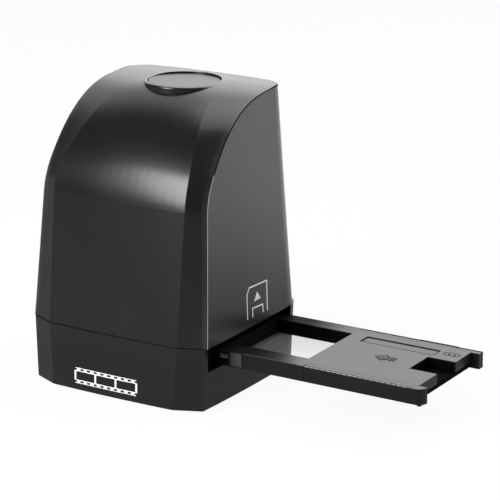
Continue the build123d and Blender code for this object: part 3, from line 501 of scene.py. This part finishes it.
@dataclass
class Finishes:
    """Every finish of the scanner, and which CAD node wears which."""

    tower: MouldedPlastic = MouldedPlastic("tower_plastic", (0.004, 0.004, 0.0044), (0.012, 0.012, 0.0125),
                                           roughness=0.2, grain_strength=0.1)
    # painted light and shade: this panel's sides are paler than its faces that look forward or up
    flank: MouldedPlastic = MouldedPlastic("flank_plastic", (0.02, 0.0196, 0.0192), (0.045, 0.045, 0.045),
                                           roughness=0.2, grain_strength=0.1,
                                           facing_shade_colour=(0.0045, 0.0045, 0.005))
    base: MouldedPlastic = MouldedPlastic("base_plastic", (0.004, 0.004, 0.0044), (0.012, 0.012, 0.0125),
                                          roughness=0.27, grain_strength=0.1)
    # painted shade: forward faces, the window walls and both rails of the holder are darkened towards black
    holder: MouldedPlastic = MouldedPlastic("holder_plastic", (0.006, 0.006, 0.0062), (0.02, 0.02, 0.021),
                                            roughness=0.3, grain_strength=0.25, specular=0.49,
                                            front_shade=0.4, shade_boxes=(
                                                ((-26.0, 143.2), (-20.6, 27.2), (16.0, 25.1), 1.0, 0.1),
                                                ((-40.0, 74.0), (-24.9, 32.0), (16.0, 27.0), 0.9, 15.0),
                                                ((86.0, 150.0), (29.6, 32.0), (16.0, 27.0), 0.9, 0.1)))
    # matte black inner parts, made darker and duller still as painted shade inside the slot
    inner: MouldedPlastic = MouldedPlastic("inner_black_and_shade_plastic", (0.002, 0.002, 0.002), (0.006, 0.006, 0.006),
                                           roughness=0.8, specular=0.05)
    key: MouldedPlastic = MouldedPlastic("key_plastic", (0.012, 0.012, 0.0125), (0.04, 0.04, 0.041),
                                         roughness=0.34, grain_strength=0.15)
    # painted highlight: pale plastic for the lit beads under the side panels' edges and along the far rail
    edge: MouldedPlastic = MouldedPlastic("edge_highlight_plastic", (0.2, 0.2, 0.2), (0.3, 0.3, 0.3),
                                          roughness=0.3)
    # the raised marks' own tone, also a painted highlight on the near rail's edge and a painted reflection on
    # the knuckle block
    relief_and_highlight: MouldedPlastic = MouldedPlastic("relief_and_highlight_plastic", (0.018, 0.018, 0.0185), (0.05, 0.05, 0.051),
                                            roughness=0.6)
    # painted highlight: the lit dashes along the lid's near edge
    glint: MouldedPlastic = MouldedPlastic("glint_plastic", (0.3, 0.3, 0.3), (0.4, 0.4, 0.4),
                                           roughness=0.3)
    # painted light: the hinge pin is brightened against the shade of its notch
    pin: MouldedPlastic = MouldedPlastic("lit_pin_plastic", (0.09, 0.09, 0.09), (0.15, 0.15, 0.15),
                                         roughness=0.4)
    # painted shadow: near-black lines in grooves, gaps and joints
    groove_shade: MouldedPlastic = MouldedPlastic("groove_shadow", (0.0015, 0.0015, 0.0015),
                                            (0.004, 0.004, 0.004), roughness=0.8, specular=0.05)
    milky: MouldedPlastic = MouldedPlastic("milky_plastic", (0.75, 0.75, 0.73), (0.85, 0.85, 0.84),
                                           roughness=0.5)
    chip: MouldedPlastic = MouldedPlastic("chip_plastic", (0.015, 0.015, 0.016), (0.05, 0.05, 0.05),
                                          roughness=0.45)
    steel: DrawnMetal = DrawnMetal("screw_steel", (0.55, 0.55, 0.57))
    sheet: DrawnMetal = DrawnMetal("bracket_sheet", (0.62, 0.62, 0.63), roughness=0.38)
    board: BoardLacquer = BoardLacquer("board_lacquer", (0.01, 0.10, 0.035), (0.05, 0.22, 0.09))
    rubber: SoftRubber = SoftRubber("foot_rubber", (0.012, 0.012, 0.012))
    pane: ClearSheet = ClearSheet("pane_clear", (0.5, 0.5, 0.52), clear=0.9)
    lens: ClearSheet = ClearSheet("lens_coated", (0.35, 0.45, 0.6), clear=0.6)
    ink: PrintedInk = PrintedInk("white_ink", (0.85, 0.85, 0.85))
    made: dict[str, bpy.types.Material] = field(default_factory=dict)

    def get(self, name: str) -> bpy.types.Material:
        """Makes a finish the first time that it is asked for.

        Args:
            name: the field's name.

        Returns:
            The material.
        """
        if name not in self.made:
            self.made[name] = getattr(self, name).make()
        return self.made[name]

    def wearers(self) -> dict[str, str]:
        """Returns the finish of each CAD node."""
        groups = {
            "base": ["base_shell", "bottom_plate"], "tower": ["front_wrap"], "flank": ["rear_housing"],
            "holder": ["holder_frame", "holder_lid"], "key": ["scan_button"],
            "inner": ["lower_film_guide", "upper_film_guide", "light_tunnel", "lens_barrel",
                      "button_carrier"],
            "milky": ["backlight_box", "diffuser_plate", "backlight_lamps", "indicator_lens"],
            "chip": ["sensor_chip", "processor_chip", "button_switch"],
            "steel": ["base_screws", "guide_screws", "bracket_screws", "board_screws", "carrier_screws",
                      "button_spring", "usb_socket"],
            "pin": ["hinge_pins"],
            "sheet": ["camera_bracket"], "board": ["backlight_board", "sensor_board", "main_board",
                                                   "button_board"],
            "rubber": ["rubber_feet"], "pane": ["holder_panes"], "lens": ["lens_glass"],
        }
        return {node: finish for finish, nodes in groups.items() for node in nodes}


def new_piece(name: str, work: bmesh.types.BMesh, material: bpy.types.Material, body: Body) -> bpy.types.Object:
    """Turns a bmesh into a piece that rides a body.

    Args:
        name: the piece's name.
        work: the mesh, in metres; it is freed.
        material: the piece's material.
        body: the body that it rides on.

    Returns:
        The new object.
    """
    mesh = bpy.data.meshes.new(name)
    bmesh.ops.recalc_face_normals(work, faces=work.faces)
    work.to_mesh(mesh)
    work.free()
    mesh.materials.append(material)
    piece = bpy.data.objects.new(name, mesh)
    bpy.context.scene.collection.objects.link(piece)
    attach(piece, body.value)
    LOG.info("piece %s: %d faces", name, len(mesh.polygons))
    return piece


def ribbon(work: bmesh.types.BMesh, path: Sequence[Vector], normal: Vector, width: float,
           closed: bool = False) -> None:
    """Adds a flat ribbon along a path, mitred at its corners.

    Args:
        work: the mesh to add to.
        path: the ribbon's middle line.
        normal: the direction that the ribbon faces.
        width: the ribbon's width in metres.
        closed: whether the last point joins the first.
    """
    count = len(path)
    pairs = []
    for index, point in enumerate(path):
        before = path[index - 1] if index or closed else None
        after = path[(index + 1) % count] if index < count - 1 or closed else None
        ways = [(b - a).normalized() for a, b in ((before, point), (point, after)) if a and b]
        sides = [normal.cross(way).normalized() for way in ways]
        mitre = sum(sides, Vector()).normalized()
        reach = width / 2 / max(0.35, mitre.dot(sides[0]))
        pairs.append((work.verts.new(point + mitre * reach), work.verts.new(point - mitre * reach)))
    last = count if closed else count - 1
    for index in range(last):
        a, b = pairs[index], pairs[(index + 1) % count]
        work.faces.new((a[0], b[0], b[1], a[1]))


def plate(work: bmesh.types.BMesh, outline: Sequence[Vector], rise: Vector) -> None:
    """Adds a closed plate: an outline raised along a vector.

    Args:
        work: the mesh to add to.
        outline: the foot's corners.
        rise: from the foot to the top.
    """
    low = [work.verts.new(point) for point in outline]
    high = [work.verts.new(point + rise) for point in outline]
    work.faces.new(low[::-1])
    work.faces.new(high)
    for index in range(len(low)):
        after = (index + 1) % len(low)
        work.faces.new((low[index], low[after], high[after], high[index]))


def bead(work: bmesh.types.BMesh, path: Sequence[Vector], radius: float, sides: int = 6) -> None:
    """Adds a thin round bead along a path, closed at both ends.

    Args:
        work: the mesh to add to.
        path: the bead's middle line.
        radius: its radius in metres.
        sides: corners of its section.
    """
    rings = []
    for index, point in enumerate(path):
        way = (path[min(index + 1, len(path) - 1)] - path[max(index - 1, 0)]).normalized()
        side = way.orthogonal().normalized() if not rings else (side - way * side.dot(way)).normalized()
        other = way.cross(side)
        angles = [2 * math.pi * step / sides for step in range(sides)]
        rings.append([work.verts.new(point + (side * math.cos(a) + other * math.sin(a)) * radius)
                      for a in angles])
    for low, high in zip(rings, rings[1:]):
        for step in range(sides):
            after = (step + 1) % sides
            work.faces.new((low[step], low[after], high[after], high[step]))
    work.faces.new(rings[0][::-1])
    work.faces.new(rings[-1])


def shared_edge(part: bpy.types.Object, first: Callable[[Vector], bool],
                second: Callable[[Vector], bool]) -> list[Vector]:
    """Finds the corners where two kinds of a part's faces meet.

    Args:
        part: the part.
        first: tells from a face's normal whether it is of the first kind.
        second: the same for the second kind.

    Returns:
        The points, without doubles.
    """
    mesh = part.data
    kinds = []
    for kind in (first, second):
        faces = [face for face in mesh.polygons if kind(face.normal)]
        kinds.append({tuple(round(c, 6) for c in mesh.vertices[v].co) for f in faces for v in f.vertices})
    return [Vector(point) for point in kinds[0] & kinds[1]]


def round_rectangle(centre: Plan, size: Plan, radius: float, steps: int = 5) -> list[Plan]:
    """Corner points of a rounded rectangle.

    Args:
        centre: its middle.
        size: its width and height.
        radius: the corner radius.
        steps: points to a corner.

    Returns:
        The points, counter-clockwise.
    """
    points = []
    for quarter, (sx, sy) in enumerate(((1, 1), (-1, 1), (-1, -1), (1, -1))):
        cx = centre[0] + sx * (size[0] / 2 - radius)
        cy = centre[1] + sy * (size[1] / 2 - radius)
        for step in range(steps + 1):
            angle = math.radians(90 * (quarter + step / steps))
            points.append((cx + radius * math.cos(angle), cy + radius * math.sin(angle)))
    return points


def circle(centre: Plan, radius: float, count: int) -> list[Plan]:
    """Corner points of a circle.

    Args:
        centre: its middle.
        radius: its radius.
        count: how many points.

    Returns:
        The points, counter-clockwise.
    """
    turns = [2 * math.pi * step / count for step in range(count)]
    return [(centre[0] + radius * math.cos(turn), centre[1] + radius * math.sin(turn)) for turn in turns]


@dataclass(frozen=True)
class Lamp:
    """A soft rectangular lamp that faces the middle of the scanner.

    Azimuth is from the front, positive to the right, and height above the floor, both in degrees;
    distance and size are in metres, a radiance of 1 is white, and roll is how many degrees the
    lamp's top leans to the left.
    """

    name: str
    azimuth: float
    height: float
    distance: float
    size: Plan
    radiance: float
    roll: float = 0.0
    middle: Point = (0.0, 0.0, 0.08)

    def hang(self) -> None:
        """Adds the lamp to the scene."""
        data = bpy.data.lights.new(self.name, "AREA")
        data.shape = "RECTANGLE"
        data.size, data.size_y = self.size
        data.energy = self.radiance * math.pi * self.size[0] * self.size[1]
        lamp = bpy.data.objects.new(self.name, data)
        turn, tip = math.radians(self.azimuth), math.radians(self.height)
        out = Vector((math.sin(turn) * math.cos(tip), -math.cos(turn) * math.cos(tip), math.sin(tip)))
        basis = out.to_track_quat("Z", "Y").to_matrix()
        basis = basis @ Matrix.Rotation(math.radians(self.roll), 3, "Z")
        lamp.matrix_world = Matrix.Translation(Vector(self.middle) + out * self.distance) @ basis.to_4x4()
        bpy.context.scene.collection.objects.link(lamp)


@dataclass
class Studio:
    """Camera, lamps, world and floor.

    Gloss sees a dark room in front of the scanner and a pale backdrop behind it.
    """

    azimuth: float = 32.7776
    pitch: float = 17.2657
    roll: float = -0.811
    lens: float = 162.6
    sensor: float = 36.0
    place: Point = (0.5703, -0.8141, 0.3661)
    ambient: float = 0.35
    floor_drop: float = -0.0001
    floor_gloss: float = 0.3
    front_gloss: float = 0.12
    crown_gloss: float = 1.0
    rear_gloss: float = 1.1
    horizon_gloss: float = 1.2
    floor_reach: float = 6.0
    lamps: tuple[Lamp, ...] = (
        Lamp("soft_box", -19, 27, 0.9, (0.38, 0.76), 10.5, roll=18),
        Lamp("side_box", 130, 35, 1.1, (0.8, 0.8), 2.2),
        Lamp("top_box", 180, 75, 1.0, (0.8, 0.8), 1.6))

    def camera(self) -> None:
        """Makes the camera at the photograph's viewing angle."""
        turn = math.radians(self.azimuth)
        tip = math.radians(self.pitch)
        twist = math.radians(self.roll)
        ahead = Vector((-math.sin(turn) * math.cos(tip), math.cos(turn) * math.cos(tip), -math.sin(tip)))
        right = Vector((math.cos(turn), math.sin(turn), 0))
        up = right.cross(ahead)
        rolled_right = right * math.cos(twist) + up * math.sin(twist)
        rolled_up = up * math.cos(twist) - right * math.sin(twist)
        data = bpy.data.cameras.new("camera")
        data.lens = self.lens
        data.sensor_width = self.sensor
        data.clip_end = 20.0
        camera = bpy.data.objects.new("camera", data)
        basis = Matrix((rolled_right, rolled_up, -ahead)).transposed().to_4x4()
        camera.matrix_world = Matrix.Translation(self.place) @ basis
        bpy.context.scene.collection.objects.link(camera)
        bpy.context.scene.camera = camera

    @staticmethod
    def paths(tone: Palette) -> tuple[Signal, Signal]:
        """Tells what kind of ray meets the world or the floor.

        Args:
            tone: the palette of the world or the floor.

        Returns:
            1 for a ray that is seen, straight or through glass, and 1 for a gloss ray.
        """
        seen = tone.add("ShaderNodeLightPath", output="Is Camera Ray")
        seen = seen + tone.add("ShaderNodeLightPath", output="Is Transmission Ray")
        return seen, tone.add("ShaderNodeLightPath", output="Is Glossy Ray")

    def world(self) -> None:
        """Makes a world that is white to the camera and through glass, and graded to gloss."""
        world = bpy.data.worlds.new("studio")
        bpy.context.scene.world = world
        tone = Palette(world)
        seen, gloss = self.paths(tone)
        height = tone.axis("Generated", 2)
        depth = tone.axis("Generated", 1) + height * 0.3
        behind = tone.ramp(depth, 0.14, 0.5) * self.crown_gloss
        behind = behind + tone.ramp(depth, 0.6, 1.0) * self.rear_gloss
        graded = behind * tone.ramp(height, 0.05, 0.3, 0.75) + self.front_gloss
        strength = seen * (1 - self.ambient) + gloss * (graded - self.ambient) + self.ambient
        shell = tone.add("ShaderNodeBackground", {}, {"Color": (1, 1, 1, 1), "Strength": strength})
        tone.finish(shell)

    def floor(self) -> None:
        """Makes the pale floor, white to the camera away from the scanner's shadow."""
        tone = Palette.of_material("floor_paper")
        fibre = tone.grain(300.0)
        paper = tone.add("ShaderNodeBsdfPrincipled", {}, {
            "Base Color": tone.blend(fibre, (0.86, 0.86, 0.86), (0.9, 0.9, 0.9)), "Roughness": 0.9})
        seen, gloss = self.paths(tone)
        graded = tone.ramp(tone.axis("Object", 1), 0.05, 0.4, self.floor_gloss, self.horizon_gloss)
        glow = tone.add("ShaderNodeEmission", {}, {"Color": seen + gloss * graded, "Strength": 1.0})
        cover = seen * 0.93 + gloss * 0.94
        material = tone.finish(tone.add("ShaderNodeMixShader", {}, {0: cover, 1: paper, 2: glow}))
        work = bmesh.new()
        bmesh.ops.create_grid(work, x_segments=8, y_segments=8, size=self.floor_reach)
        mesh = bpy.data.meshes.new("floor")
        work.to_mesh(mesh)
        work.free()
        mesh.materials.append(material)
        floor = bpy.data.objects.new("floor", mesh)
        floor.location.z = self.floor_drop
        bpy.context.scene.collection.objects.link(floor)

    def build(self) -> None:
        """Builds the whole studio."""
        bpy.context.scene.view_settings.view_transform = "Standard"
        self.camera()
        self.world()
        self.floor()
        for lamp in self.lamps:
            lamp.hang()


@dataclass
class Housing:
    """The tower and base: CAD shells with finishes, printed marks, and beads of painted highlight and painted
    shadow along edges and joints.
    """

    finishes: Finishes
    nodes: dict[str, bpy.types.Object]
    half_width: float = 46.7
    seam_z: float = 29.75
    rear_limit: float = 45.15
    lean: float = 0.0541
    bow: float = 1.2
    bow_middle: float = -12.5
    bow_reach: float = 57.5
    ink_lift: float = 0.04
    line: float = 0.75
    arch: tuple[Plan, ...] = ((-5.2, 33.8), (-4.6, 45.2), (-2.4, 48.0), (12.6, 47.4), (11.8, 33.4))
    gate: tuple[Plan, ...] = ((-0.9, 33.7), (-0.6, 37.9), (8.1, 37.4), (8.2, 33.5))
    wedge: tuple[Plan, ...] = ((3.9, 44.6), (1.0, 40.6), (6.7, 40.8))
    edge_radius: float = 0.17
    dark_edge_radii: Plan = (0.27, 0.08)
    seam_radius: float = 0.12
    edge_reach: Point = (0.06, -0.05, 0.0)
    edge_inner_x: float = 38.0
    edge_split_z: float = 106.0
    strip_centre: Plan = (-3.1, 7.6)
    strip_size: Plan = (34.0, 7.4)
    strip_frames: int = 3
    strip_holes: int = 9
    front_lean: float = 0.0484
    front_y: float = -45.4
    front_bow: float = 0.7
    crease_x: float = 33.2

    def side_point(self, y: float, z: float) -> Vector:
        """A point just outside the right side.

        Args:
            y: its place from front to rear, in mm.
            z: its height, in mm.

        Returns:
            The point in metres.
        """
        reach = (y - self.bow_middle) / self.bow_reach
        x = self.half_width + self.bow * (1 - reach * reach) - self.lean * (z - self.seam_z)
        return Vector((x + self.ink_lift, y, z)) * MM

    def side_mark(self) -> None:
        """Prints the arched outline with its gate and arrow head on the right side."""
        work = bmesh.new()
        facing = Vector((1, 0, 0))
        for path in (self.arch, self.gate):
            ribbon(work, [self.side_point(*point) for point in path], facing, self.line * MM)
        work.faces.new([work.verts.new(self.side_point(*point)) for point in self.wedge])
        new_piece("side_mark", work, self.finishes.get("ink"), Body.HOUSING)

    def front_point(self, x: float, z: float) -> Vector:
        """A point just outside the base's front.

        Args:
            x: its place from left to right, in mm.
            z: its height, in mm.

        Returns:
            The point in metres.
        """
        y = self.front_y - self.front_bow * (1 - (x / self.crease_x) ** 2) + self.front_lean * (z - 0.8)
        return Vector((x, y - self.ink_lift, z)) * MM

    def front_mark(self) -> None:
        """Prints a plain film strip on the base's front: two rows of holes and three frames."""
        work = bmesh.new()
        cx, cz = self.strip_centre
        width, height = self.strip_size
        hole_pitch = width / self.strip_holes
        frame_pitch = width / self.strip_frames
        row = height * 0.11
        bars = []
        for side in (-1, 1):
            rail_z = cz + side * (height / 2 - row)
            for hole in range(self.strip_holes):
                x = cx - width / 2 + hole_pitch * (hole + 0.5)
                bars.append((x, x + hole_pitch, rail_z - row / 2, rail_z + row / 2, hole_pitch * 0.5))
            bars.append((cx, cx, cz + side * height / 2, cz + side * (height / 2 - row * 0.4), width))
            bars.append((cx, cx, cz + side * height * 0.27, cz + side * height * 0.33, width))
        for frame in range(self.strip_frames + 1):
            x = cx - width / 2 + frame_pitch * frame
            bars.append((x, x, cz - height * 0.3, cz + height * 0.3, row * 1.2))
        for x, _, low, high, span in bars:
            steps = max(1, round(span / 4))
            for step in range(steps):
                left = x - span / 2 + span * step / steps
                right = x - span / 2 + span * (step + 1) / steps
                corners = [(left, low), (right, low), (right, high), (left, high)]
                work.faces.new([work.verts.new(self.front_point(*corner)) for corner in corners])
        new_piece("front_mark", work, self.finishes.get("ink"), Body.HOUSING)

    def panel_edges(self) -> None:
        """Lays a fine bead along the front edge of each side panel: a painted highlight below and a painted
        shadow above.
        """
        part = self.nodes["rear_housing"]
        for side in (-1, 1):
            path = shared_edge(part, lambda n: n.x * side > 0.9, lambda n: n.y < -0.3 or n.z > 0.5)
            path = [p for p in path if p.x * side > self.edge_inner_x * MM]
            path.sort(key=lambda p: p.z - p.y * 0.05)
            split = self.edge_split_z * MM
            reach = Vector((self.edge_reach[0] * side, *self.edge_reach[1:])) * MM
            low = [p + reach for p in path if p.z < split]
            high = [p for p in path if p.z >= split * 0.99]
            hand = "right" if side > 0 else "left"
            dark = self.dark_edge_radii[0 if side > 0 else 1]
            # a painted highlight bead below the split and a painted shadow bead above it
            for name, finish, points, radius in (("low", "edge", low, self.edge_radius),
                                                 ("high", "groove_shade", high, dark)):
                work = bmesh.new()
                bead(work, points, radius * MM)
                new_piece(f"panel_edge_{hand}_{name}", work, self.finishes.get(finish), Body.HOUSING)

    def seam(self) -> None:
        """Lays a painted shadow line along the joint between the base and the tower, before and behind the
        slots.
        """
        part = self.nodes["base_shell"]
        rim = shared_edge(part, lambda n: n.z > 0.9, lambda n: abs(n.z) < 0.2)
        rim = [p for p in rim if p.z > (self.seam_z - 0.05) * MM]
        outer = [p for p in rim if not any(
            q.length > p.length + 0.001 and q.angle(p) < 0.03 for q in rim)]
        for name, ahead in (("front", True), ("rear", False)):
            points = [Vector((p.x, min(p.y, self.rear_limit * MM), p.z)) for p in outer
                      if (p.y < -0.03) == ahead and abs(p.y) > 0.03]
            turn = -1 if ahead else 1
            points.sort(key=lambda p: math.atan2(p.x, turn * p.y))
            work = bmesh.new()
            bead(work, points, self.seam_radius * MM)
            new_piece(f"joint_line_{name}", work, self.finishes.get("groove_shade"), Body.HOUSING)

    def build(self) -> None:
        """Builds every mark and edge of the housing."""
        self.side_mark()
        self.front_mark()
        self.panel_edges()
        self.seam()


@dataclass
class Holder:
    """The film holder's reliefs, painted shadow lines, painted edge highlights, a painted reflection and its
    small foot.
    """

    finishes: Finishes
    top_z: float = 25.6
    lift: float = 0.02
    relief_height: float = 0.25
    label_centre: Plan = (112.6, 19.3)
    label_size: Plan = (37.2, 7.0)
    oblong_centre: Plan = (137.8, 20.7)
    oblong_size: Plan = (7.4, 3.6)
    arrow_head: tuple[Plan, ...] = ((109.4, 2.2), (114.3, 5.8), (114.3, 4.1), (116.0, 4.1),
                                    (116.0, 0.3), (114.3, 0.3), (114.3, -1.4))
    arrow_bars: tuple[Plan, ...] = ((116.8, 118.0), (118.8, 119.5))
    front_y: float = -25.1
    rear_y: float = 30.9
    bottom_z: float = 18.4
    sink: float = 0.08
    edge_radius: float = 0.16
    joint_radius: float = 0.18
    joint_sink: float = 0.1
    dot_radius: float = 0.55
    dot_shift: float = 1.4
    foot_drop: float = 1.1
    joints_x: tuple[float, float] = (57.3, 88.9)
    block_x: Plan = (51.0, 56.9)
    near_span: Plan = (58.0, 86.6)
    far_span: Plan = (50.0, 115.8)
    dash_start: float = 89.6
    dash_end: float = 142.6
    dash_length: float = 1.9
    dash_pitch: float = 2.7
    foot: Point = (144.9, -22.4, 18.4)
    foot_radius: float = 1.1

    def outline(self, name: str, centre: Plan, size: Plan, radius: float, width: float,
                finish: str) -> None:
        """Draws a rounded frame on the lid.

        Args:
            name: the piece's name.
            centre: the frame's middle.
            size: its width and height.
            radius: its corner radius.
            width: the line's width.
            finish: what it wears.
        """
        work = bmesh.new()
        path = [Vector((x, y, self.top_z + self.lift)) * MM
                for x, y in round_rectangle(centre, size, radius, 3)]
        ribbon(work, path, Vector((0, 0, 1)), width * MM, closed=True)
        new_piece(name, work, self.finishes.get(finish), Body.HOLDER)

    def raised(self, name: str, plans: Sequence[Sequence[Plan]], finish: str) -> None:
        """Adds low raised shapes on the lid.

        Args:
            name: the piece's name.
            plans: the shapes' corners in mm.
            finish: what they wear.
        """
        work = bmesh.new()
        for plan in plans:
            foot = [Vector((x, y, self.top_z)) * MM for x, y in plan]
            plate(work, foot, Vector((0, 0, self.relief_height)) * MM)
        new_piece(name, work, self.finishes.get(finish), Body.HOLDER)

    def marks(self) -> None:
        """Adds the label's frame and the oblong's frame as painted shadow lines, the arrow and the oblong's two
        dots.
        """
        self.outline("label_frame", self.label_centre, self.label_size, 0.6, 0.4, "groove_shade")
        self.outline("oblong_frame", self.oblong_centre, self.oblong_size, 1.6, 0.45, "groove_shade")
        cx, cy = self.oblong_centre
        dots = [circle((cx + shift, cy), self.dot_radius, 10)
                for shift in (-self.dot_shift, self.dot_shift)]
        self.raised("oblong_dots", dots, "relief_and_highlight")
        y0, y1 = self.arrow_head[5][1], self.arrow_head[2][1]
        bars = [[(a, y0), (b, y0), (b, y1), (a, y1)] for a, b in self.arrow_bars]
        self.raised("arrow_relief", [self.arrow_head, *bars], "relief_and_highlight")

    def painted_edge_highlights(self) -> None:
        """Lays fine beads of painted highlight along the top edges of both rails, dashed beside the lid."""
        dashes = []
        place = self.dash_start
        while place + self.dash_length < self.dash_end:
            dashes.append((place, place + self.dash_length))
            place += self.dash_pitch
        near, far = self.front_y + self.sink, self.rear_y - self.sink
        for name, finish, y, spans in (("near", "relief_and_highlight", near, [self.near_span]),
                                       ("lid", "glint", near, dashes),
                                       ("far", "edge", far, [self.far_span])):
            work = bmesh.new()
            for start, end in spans:
                steps = max(2, round((end - start) / 8))
                path = [Vector((start + (end - start) * step / steps, y, self.top_z - 0.04)) * MM
                        for step in range(steps + 1)]
                bead(work, path, self.edge_radius * MM)
            new_piece(f"rail_edge_highlight_{name}", work, self.finishes.get(finish), Body.HOLDER)

    def rail_joints(self) -> None:
        """Lays painted shadow lines where the near rail is parted and one behind the rail's edge, then a paler
        face on the knuckle block as a painted reflection.
        """
        work = bmesh.new()
        for x in self.joints_x:
            front = self.front_y + self.joint_sink
            path = [Vector((x, front, self.bottom_z + 0.4)) * MM, Vector((x, front, self.top_z)) * MM,
                    Vector((x, self.front_y + 2.0, self.top_z)) * MM]
            bead(work, path, self.joint_radius * MM)
        line = [Vector((x, self.front_y + 0.9, self.top_z + self.lift)) * MM
                for x in (self.joints_x[1], self.dash_end)]
        ribbon(work, line, Vector((0, 0, 1)), 0.35 * MM)
        new_piece("rail_joints", work, self.finishes.get("groove_shade"), Body.HOLDER)
        # painted reflection: a paler face on the knuckle block
        work = bmesh.new()
        low, high = self.bottom_z + 0.5, self.top_z - 0.5
        start, end = self.block_x
        corners = [(start, low), (end, low), (end, high), (start, high)]
        plate(work, [Vector((x, self.front_y + 0.02, z)) * MM for x, z in corners],
              Vector((0, -0.1, 0)) * MM)
        new_piece("knuckle_reflection", work, self.finishes.get("relief_and_highlight"), Body.HOLDER)

    def small_foot(self) -> None:
        """Adds the little foot under the holder's end."""
        work = bmesh.new()
        x, y, z = self.foot
        foot = [Vector((px, py, z)) * MM for px, py in circle((x, y), self.foot_radius, 16)]
        plate(work, foot, Vector((0, 0, -self.foot_drop)) * MM)
        new_piece("holder_foot", work, self.finishes.get("holder"), Body.HOLDER)

    def build(self) -> None:
        """Builds every piece of the holder."""
        self.marks()
        self.painted_edge_highlights()
        self.rail_joints()
        self.small_foot()


def dress_nodes(frame: dict, finishes: Finishes) -> None:
    """Gives each CAD node its finish.

    Args:
        finishes: the finishes.
    """
    for node, finish in finishes.wearers().items():
        part = frame["nodes"][node]
        part.data.materials.clear()
        part.data.materials.append(finishes.get(finish))
        LOG.info("node %s wears %s", node, finish)


def main() -> None:
    """Builds the scene: frame, finishes, marks of the housing and the holder, and the studio."""
    logging.basicConfig(level=logging.INFO)
    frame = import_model()
    finishes = Finishes()
    dress_nodes(frame, finishes)
    Housing(finishes, frame["nodes"]).build()
    Holder(finishes).build()
    Studio().build()


if __name__ == "__main__":
    main()
